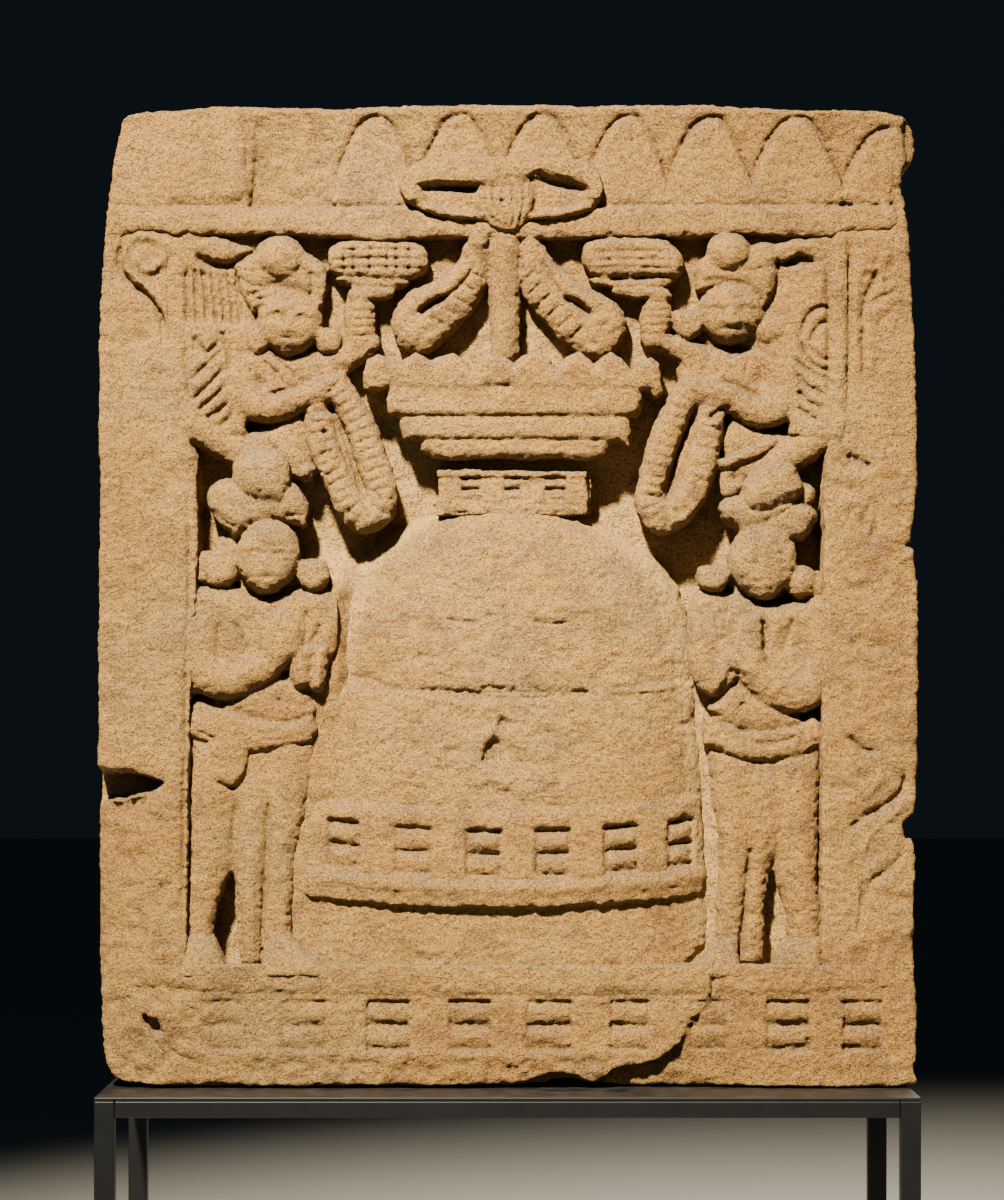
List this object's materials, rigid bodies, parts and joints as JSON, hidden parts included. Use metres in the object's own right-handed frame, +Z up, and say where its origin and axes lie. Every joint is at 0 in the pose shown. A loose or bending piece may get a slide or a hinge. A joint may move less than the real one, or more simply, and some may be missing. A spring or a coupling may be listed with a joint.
{
  "type": "carved sandstone relief slab with stupa on metal stand",
  "caption": "Worn sandstone relief slab carved with a domed stupa, flying and standing worshippers, on a slim black steel stand.",
  "frame": {"origin": "bottom centre of the whole object, on the floor between the stand's four legs", "axes": "+Z up, the carved front faces -Y, +X to the right as the front is seen"},
  "size_m": [0.67, 0.3, 1.2003],
  "materials": {
    "sandstone": "worn, grainy and matt",
    "black_steel": "satin black paint"
  },
  "bodies": {
    "root": {"stone_slab": "sandstone", "top_plate": "black_steel", "rail_front": "black_steel", "rail_back": "black_steel", "rail_left": "black_steel", "rail_right": "black_steel", "leg_front_left": "black_steel", "leg_front_right": "black_steel", "leg_back_left": "black_steel", "leg_back_right": "black_steel"}
  },
  "joints": []
}
